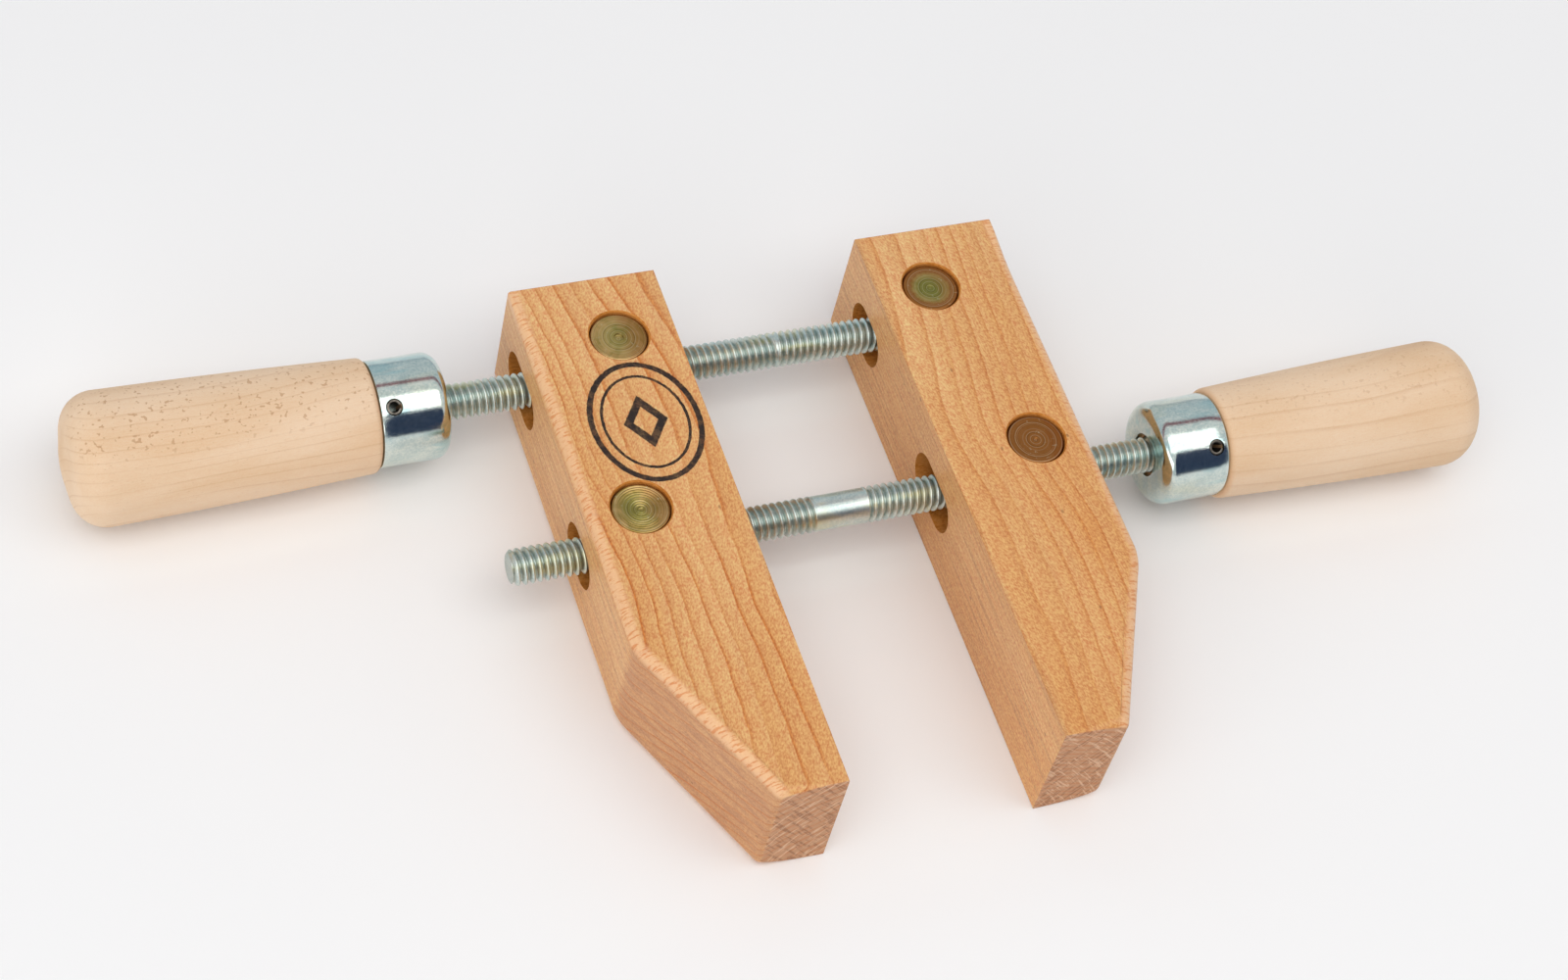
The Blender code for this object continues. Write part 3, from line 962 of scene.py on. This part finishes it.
ferruleLook = {
    "shift": 4.0, "yellow": 0.20, "blue": 0.45, "grime": 0.15, "rough": 0.055, "dimple": 0.00003,
    "rootRadius": 0,                   # no thread
}
ferrulePlan = {
    "wall": 0.0012,
    "shoulder": 0.0036,
    "holeGap": 0.0009,
    "lip": 0.00035,
    "draw": 0.004,                     # how far from each end the side draws in
    "drawnIn": 0.00004,
    "sides": 96,
}
pinPlan = {
    "fromFace": 0.0143,
    "radius": 0.0019,
    "wall": 0.0006,
    "holeRing": 0.00022,               # the gap that shows round each pin
    "holeSides": 48,
    "short": 0.0004,                   # by how much it is shorter than the ferrule is wide
    "seam": 0.0001,                    # the depth of the open seam, in from the pin's side
    "edge": 0.00012,
    "sides": 40,
}


def pinBar(name, place, radius, length, sides):
    plan = screwPlan[place]
    axis = middleOf(place + "_ferrule")
    pinX = plan["out"] * (spanOf(place + "_ferrule")[0] + pinPlan["fromFace"])
    lean = math.radians(90 - abs(plan["pinTilt"]))
    bpy.ops.mesh.primitive_cylinder_add(
        vertices=sides,
        radius=radius,
        depth=length,
        location=(pinX, axis.y, axis.z),
        rotation=(lean, 0, 0),
    )
    bar = bpy.context.object
    bar.name = name
    return settle(bar)


def makeFerrule(place, metal):
    node = place + "_ferrule"
    out = screwPlan[place]["out"]
    axis = middleOf(node)
    faceX, backX, radius = spanOf(node)
    shoulder = ferrulePlan["shoulder"]
    wall = ferrulePlan["wall"]
    hole = spanOf(place + "_spindle")[2] + ferrulePlan["holeGap"]
    lip = ferrulePlan["lip"]
    stations = [(faceX + wall, hole), (faceX + lip, hole)]
    stations += [(faceX + lip * 0.3, hole + lip * 0.3), (faceX, hole + lip)]
    stations += [(faceX, (hole + radius - shoulder) / 2)]
    stations += arcStations(faceX + shoulder, radius - shoulder, shoulder, 180, 90, 9)
    draw = ferrulePlan["draw"]
    waist = radius - ferrulePlan["drawnIn"]
    stations += [(faceX + shoulder + draw, waist), (backX - draw, waist), (backX - lip, radius)]
    stations += [(backX - lip * 0.3, radius - lip * 0.3), (backX, radius - lip)]
    stations += [(backX, radius - wall)]
    stations += [(faceX + shoulder, radius - wall)]
    stations += arcStations(faceX + shoulder, radius - shoulder, shoulder - wall, 90, 180, 5)[1:]
    ferrule = turnedBar(node + "_drawn", stations, out, axis, ferrulePlan["sides"])
    openUp(ferrule)                    # the first and last rings are joined in place of their caps
    pick("FACE", lambda face: len(face.verts) > 8)
    bpy.ops.mesh.delete(type="ONLY_FACE")
    pick("EDGE", lambda edge: edge.is_boundary)
    bpy.ops.mesh.bridge_edge_loops()
    closeUp()
    pinHole = pinPlan["radius"] + pinPlan["holeRing"]
    cutAway(ferrule, pinBar("pinHole", place, pinHole, radius * 3, pinPlan["holeSides"]))
    coat(ferrule, metal)
    softShade(ferrule, 30)
    return ferrule


# Handles

handlePlan = {
    "neckRadius": 0.0144,
    "buttRadius": 0.0166,
    "buttRound": 0.0085,
    "neckRound": 0.0016,
    "crown": 0.0012,
    "swell": 0.00024,
    "fit": 0.0003,
    "boreLead": 0.002,
    "sides": 112,
    "boreSides": 32,
    "bodySteps": 12,
}
handleLooks = {
    "end": {
        "pith": (-52, -30), "ringGap": 2.6, "shift": 5.0, "flecks": 1.0, "fleckSide": (0.10, 0.99),
    },
    "middle": {
        "pith": (-48, -36), "ringGap": 4.3, "shift": 63.0, "flecks": 0.4, "fleckSide": (0.3, 0.95),
    },
}
handleTones = {
    "early": tint(238, 209, 178),
    "late": tint(229, 194, 156),
    "line": tint(206, 162, 120),
    "fleck": tint(182, 132, 88),
    # painted shade next to the ferrule
    "neckShade": tint(214, 158, 104),
}
handleSpeckle = [(0.30, (0.30, 0.25, 0.20, 1)), (0.70, (0.70, 0.72, 0.74, 1))]


def bareMaple(name, place, look):
    material, recipe, shader = newMaterial(name, Specular_IOR_Level=0.3)
    axis = middleOf(place + "_handle")
    x, y, z = recipe.millimetres()
    dy = y - axis.y * 1000
    dz = z - axis.z * 1000
    shift = look["shift"]
    drift = recipe.noise((x * 0.012, dy * 0.03 + shift, dz * 0.03), 1) - 0.5
    ringY = dy - look["pith"][0] + drift * 9 + x * 0.02
    ringZ = dz - look["pith"][1] + drift * 5
    radius = (ringY * ringY + ringZ * ringZ) ** 0.5
    uneven = recipe.noise((radius * 0.14, shift, 0.0), 1)
    phase = (radius / look["ringGap"] + uneven * 1.6).part()
    growth = phase.fade(0.72, 0.95) * (1 - phase.fade(0.96, 1.0))
    wander = recipe.noise((x * 0.035, dy * 0.1 + shift, dz * 0.1), 2)
    line = growth * growth * wander.fade(0.25, 0.65)
    cloud = recipe.noise((x * 0.02, dy * 0.08 + shift, dz * 0.08), 3, 0.55)
    pores = recipe.noise((x * 0.55, dy * 4.0 + shift, dz * 4.0), 3, 0.65)
    grit = recipe.noise((x * 2.4, dy * 2.4 + shift, dz * 2.4), 2, 0.6)
    wood = recipe.blend(cloud.fade(0.30, 0.75), handleTones["early"], handleTones["late"])
    wood = recipe.blend(line * 0.34, wood, handleTones["line"])
    shade = pores * 0.6 + grit * 0.4
    wood = recipe.blend(0.22, wood, recipe.ramp(shade, handleSpeckle), "OVERLAY")

    # rays cut lengthwise show as short brown dashes in bands along one side
    facing = (dy * look["fleckSide"][0] + dz * look["fleckSide"][1]) / 15
    zone = facing.fade(0.62, 0.92)
    dash = recipe.noise((x * 0.9, dy * 0.9 + shift, dz * 0.9), 1, 0.5)
    tick = recipe.noise((x * 0.9 + 30, dy * 3.0, dz * 3.0 + shift), 2, 0.6)
    flecks = dash.fade(0.63, 0.69) * zone * look["flecks"] + tick.fade(0.66, 0.74) * 0.55
    wood = recipe.blend(flecks * 0.55, wood, handleTones["fleck"])
    # painted shade on the wood where the handle meets the ferrule
    fromFerrule = abs(x) - spanOf(place + "_ferrule")[1] * 1000 + cloud * 2.0
    wood = recipe.blend((1 - fromFerrule.fade(0.9, 2.6)) * 0.5, wood, handleTones["neckShade"])
    lathe = recipe.noise((x * 3.2, shift, 0.0), 2, 0.6)
    recipe.feed(shader.inputs["Base Color"], wood)
    recipe.feed(shader.inputs["Roughness"], 0.56 + shade * 0.16)
    height = shade * 0.8 + lathe * 0.5 - line * 0.6
    recipe.feed(shader.inputs["Normal"], recipe.bump(height, 0.00005, 0.5))
    return material


def makeHandle(place, wood):
    node = place + "_handle"
    out = screwPlan[place]["out"]
    axis = middleOf(node)
    butt = spanOf(node)[1]
    faceX, backX, ferruleRadius = spanOf(place + "_ferrule")
    fit = handlePlan["fit"]
    wall = ferrulePlan["wall"]
    neckFront = faceX + wall + fit
    tenon = ferruleRadius - wall - fit
    corner = ferrulePlan["shoulder"] - wall
    shoulderX = backX + fit
    neck = handlePlan["neckRadius"]
    neckRound = handlePlan["neckRound"]
    buttRadius = handlePlan["buttRadius"]
    buttRound = handlePlan["buttRound"]
    crown = handlePlan["crown"]
    roundX = butt - crown - buttRound
    stations = [(neckFront, tenon - corner), (neckFront + corner * 0.4, tenon - corner * 0.25)]
    stations += [(neckFront + corner, tenon), (shoulderX, tenon)]
    stations += arcStations(shoulderX + neckRound, neck - neckRound, neckRound, 180, 90, 6)
    bodySteps = handlePlan["bodySteps"]
    for step in range(1, bodySteps):
        share = step / bodySteps
        bodyX = shoulderX + neckRound + share * (roundX - shoulderX - neckRound)
        swell = handlePlan["swell"] * math.sin(share * math.pi)
        stations.append((bodyX, neck + (buttRadius - neck) * share + swell))
    stations += arcStations(roundX, buttRadius - buttRound, buttRound, 90, 8, 12)
    rim = buttRadius - buttRound
    for share in (0.8, 0.55, 0.3, 0.1, 0.02):
        stations.append((butt - crown * share * share, rim * share))
    handle = turnedBar(node + "_turned", stations, out, axis, handlePlan["sides"])
    _, boreEnd, boreRadius = [size + fit for size in spanOf(place + "_spindle")]
    boreStart = neckFront - handlePlan["boreLead"]
    boreMiddle = Vector((out * (boreStart + boreEnd) / 2, axis.y, axis.z))
    boreSides = handlePlan["boreSides"]
    bore = roundBar("bore", boreRadius, boreEnd - boreStart, boreMiddle, boreSides, alongX)
    cutAway(handle, bore)
    pinHole = pinPlan["radius"] + pinPlan["holeRing"]
    cutAway(handle, pinBar("pinHole", place, pinHole, tenon * 3, boreSides))
    coat(handle, wood)
    softShade(handle, 35)
    return handle


# Handle pins

def oiledSteel(name):
    material, recipe, shader = newMaterial(name, Metallic=1.0)
    x, y, z = recipe.millimetres()
    stain = recipe.noise((x * 0.8, y * 0.8, z * 0.8), 3, 0.6)
    metal = recipe.ramp(stain, [(0.30, tint(70, 66, 60)), (0.70, tint(140, 134, 124))])
    recipe.feed(shader.inputs["Base Color"], metal)
    recipe.feed(shader.inputs["Roughness"], 0.30 + stain * 0.25)
    return material


def makePin(place, steel):
    node = place + "_handle_pin"
    length = 2 * spanOf(place + "_ferrule")[2] - pinPlan["short"]
    seamX = middleOf(node).x + pinPlan["radius"] - pinPlan["seam"]      # it is open towards +X
    pin = pinBar(node + "_rolled", place, pinPlan["radius"], length, pinPlan["sides"])
    openUp(pin)
    pick("FACE", lambda face: len(face.verts) > 8)
    bpy.ops.mesh.delete(type="ONLY_FACE")
    pick("FACE", lambda face: face.calc_center_median().x > seamX)
    bpy.ops.mesh.delete(type="FACE")
    bpy.ops.object.mode_set(mode="OBJECT")
    modify(pin, "SOLIDIFY", thickness=pinPlan["wall"], offset=-1)
    modify(pin, "BEVEL", width=pinPlan["edge"], segments=2, angle_limit=math.radians(50))
    openUp(pin)
    closeUp()
    coat(pin, steel)
    softShade(pin, 35)
    return pin


# Studio

studio = {
    "aim": (-0.00946, 0.01541, 0.0169),
    "distance": 0.8312,
    "azimuth": math.radians(31.94),
    "elevation": math.radians(53.08),
    "roll": math.radians(16.515),
    "lens": 76.89,
    "roomLight": 0.80,
    "rail": 65,                        # how far up it runs, in degrees
    "floorSize": 8,
    "floorDrop": 0.0001,
}
lights = {
    "overhead": {
        "spot": (0.0, -0.42, 1.15), "size": (1.9, 0.86),
        "power": 6.6, "colour": (1.0, 0.98, 0.95),
    },
    "side_fill": {
        "spot": (-1.05, -0.80, 0.45), "size": (1.4, 0.5),
        "power": 3.4, "colour": (1.0, 0.99, 0.97),
    },
}


def makeCamera():
    level = math.cos(studio["elevation"])
    ahead = Vector((
        math.sin(studio["azimuth"]) * level,
        math.cos(studio["azimuth"]) * level,
        -math.sin(studio["elevation"]),
    ))
    bpy.ops.object.camera_add(location=Vector(studio["aim"]) - ahead * studio["distance"])
    camera = bpy.context.object
    camera.rotation_mode = "QUATERNION"
    roll = Quaternion((0, 0, 1), studio["roll"])
    camera.rotation_quaternion = ahead.to_track_quat("-Z", "Y") @ roll
    camera.data.lens = studio["lens"]
    camera.data.clip_start = 0.01
    bpy.context.scene.camera = camera


def makeFloor():
    bpy.ops.mesh.primitive_plane_add(size=studio["floorSize"], location=(0, 0, -studio["floorDrop"]))
    floor = settle(bpy.context.object)
    floor.name = "pale_floor"
    paint = newMaterial("pale_floor_paint", Roughness=0.9, Specular_IOR_Level=0.2)
    material, recipe, shader = paint
    x, y, z = recipe.millimetres()
    paper = recipe.noise((x * 0.004, y * 0.004, 0.0), 2)
    colour = recipe.ramp(paper, [(0, (0.92, 0.92, 0.92, 1)), (1, (0.96, 0.96, 0.96, 1))])
    recipe.feed(shader.inputs["Base Color"], colour)
    coat(floor, material)


def makeLight(name, plan):
    bpy.ops.object.light_add(type="AREA", location=plan["spot"])
    light = bpy.context.object
    light.name = name
    light.data.shape = "RECTANGLE"
    light.data.size, light.data.size_y = plan["size"]
    light.data.energy = plan["power"]
    light.data.color = plan["colour"]
    light.rotation_mode = "QUATERNION"
    light.rotation_quaternion = (-Vector(plan["spot"])).to_track_quat("-Z", "Y")


def makeWorld():
    world = bpy.data.worlds.new("studio")
    bpy.context.scene.world = world
    world.use_nodes = True
    recipe = Recipe(world.node_tree)
    background = world.node_tree.nodes["Background"]
    direction = recipe.add("ShaderNodeTexCoord", out=0)
    x, y, z = recipe.split(direction)
    # a bright room, with a dark blue screen on the viewer's side and a thin red rail behind
    screen = (z * 0.36 - y * 0.88 + x * 0.32).fade(0.84, 0.90)
    horizon = 1 - abs(z).fade(0.02, 0.16)
    slope = math.radians(studio["rail"])
    offRail = abs(z * math.cos(slope) - y * math.sin(slope))
    rail = (1 - offRail.fade(0.055, 0.075)) * z.fade(0.2, 0.4)
    behind = y.fade(0.05, 0.35) * (1 - z.fade(0.75, 0.95))
    room = recipe.blend(z.fade(-0.1, 0.9), (0.82, 0.86, 0.91, 1), (1.0, 1.0, 1.0, 1))
    room = recipe.blend(behind * 0.55, room, (0.55, 0.64, 0.70, 1))
    room = recipe.blend(horizon * 0.4, room, (0.35, 0.38, 0.44, 1))
    room = recipe.blend(rail * 0.9, room, (0.26, 0.02, 0.05, 1))
    room = recipe.blend(screen, room, (0.05, 0.07, 0.13, 1))
    recipe.feed(background.inputs["Color"], room)
    background.inputs["Strength"].default_value = studio["roomLight"]


print("camera, floor and lights")
deselectAll()
makeCamera()
makeFloor()
makeWorld()
for lightName, plan in lights.items():
    makeLight(lightName, plan)
bpy.context.scene.view_settings.view_transform = "Standard"


def handIn(piece, node, body):
    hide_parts(node)
    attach(piece, body)


print("jaws")
bored = boredWood("bored_wood")
for sideName, side in (("left", -1), ("right", 1)):
    wood = lacqueredMaple(sideName + "_jaw_maple", side, jawLooks[sideName])
    jaw = makeJaw(sideName + "_jaw", side, wood, bored)
    handIn(jaw, sideName + "_jaw", sideName + "_jaw")

print("nuts")
for nutName, look in nutPlan.items():
    nut = makeNut(nutName + "_nut", look)
    handIn(nut, nutName + "_nut", nutName + "_nut")

print("screws")
pinSteel = oiledSteel("pin_steel")
for screwName, plan in screwPlan.items():
    body = screwName + "_screw"
    zinc = brightZinc(screwName + "_spindle", spindleLook)
    handIn(makeSpindle(screwName, plan, zinc), screwName + "_spindle", body)
    zinc = brightZinc(screwName + "_ferrule", ferruleLook)
    handIn(makeFerrule(screwName, zinc), screwName + "_ferrule", body)
    maple = bareMaple(screwName + "_handle_maple", screwName, handleLooks[screwName])
    handIn(makeHandle(screwName, maple), screwName + "_handle", body)
    handIn(makePin(screwName, pinSteel), screwName + "_handle_pin", body)

print("pieces made")
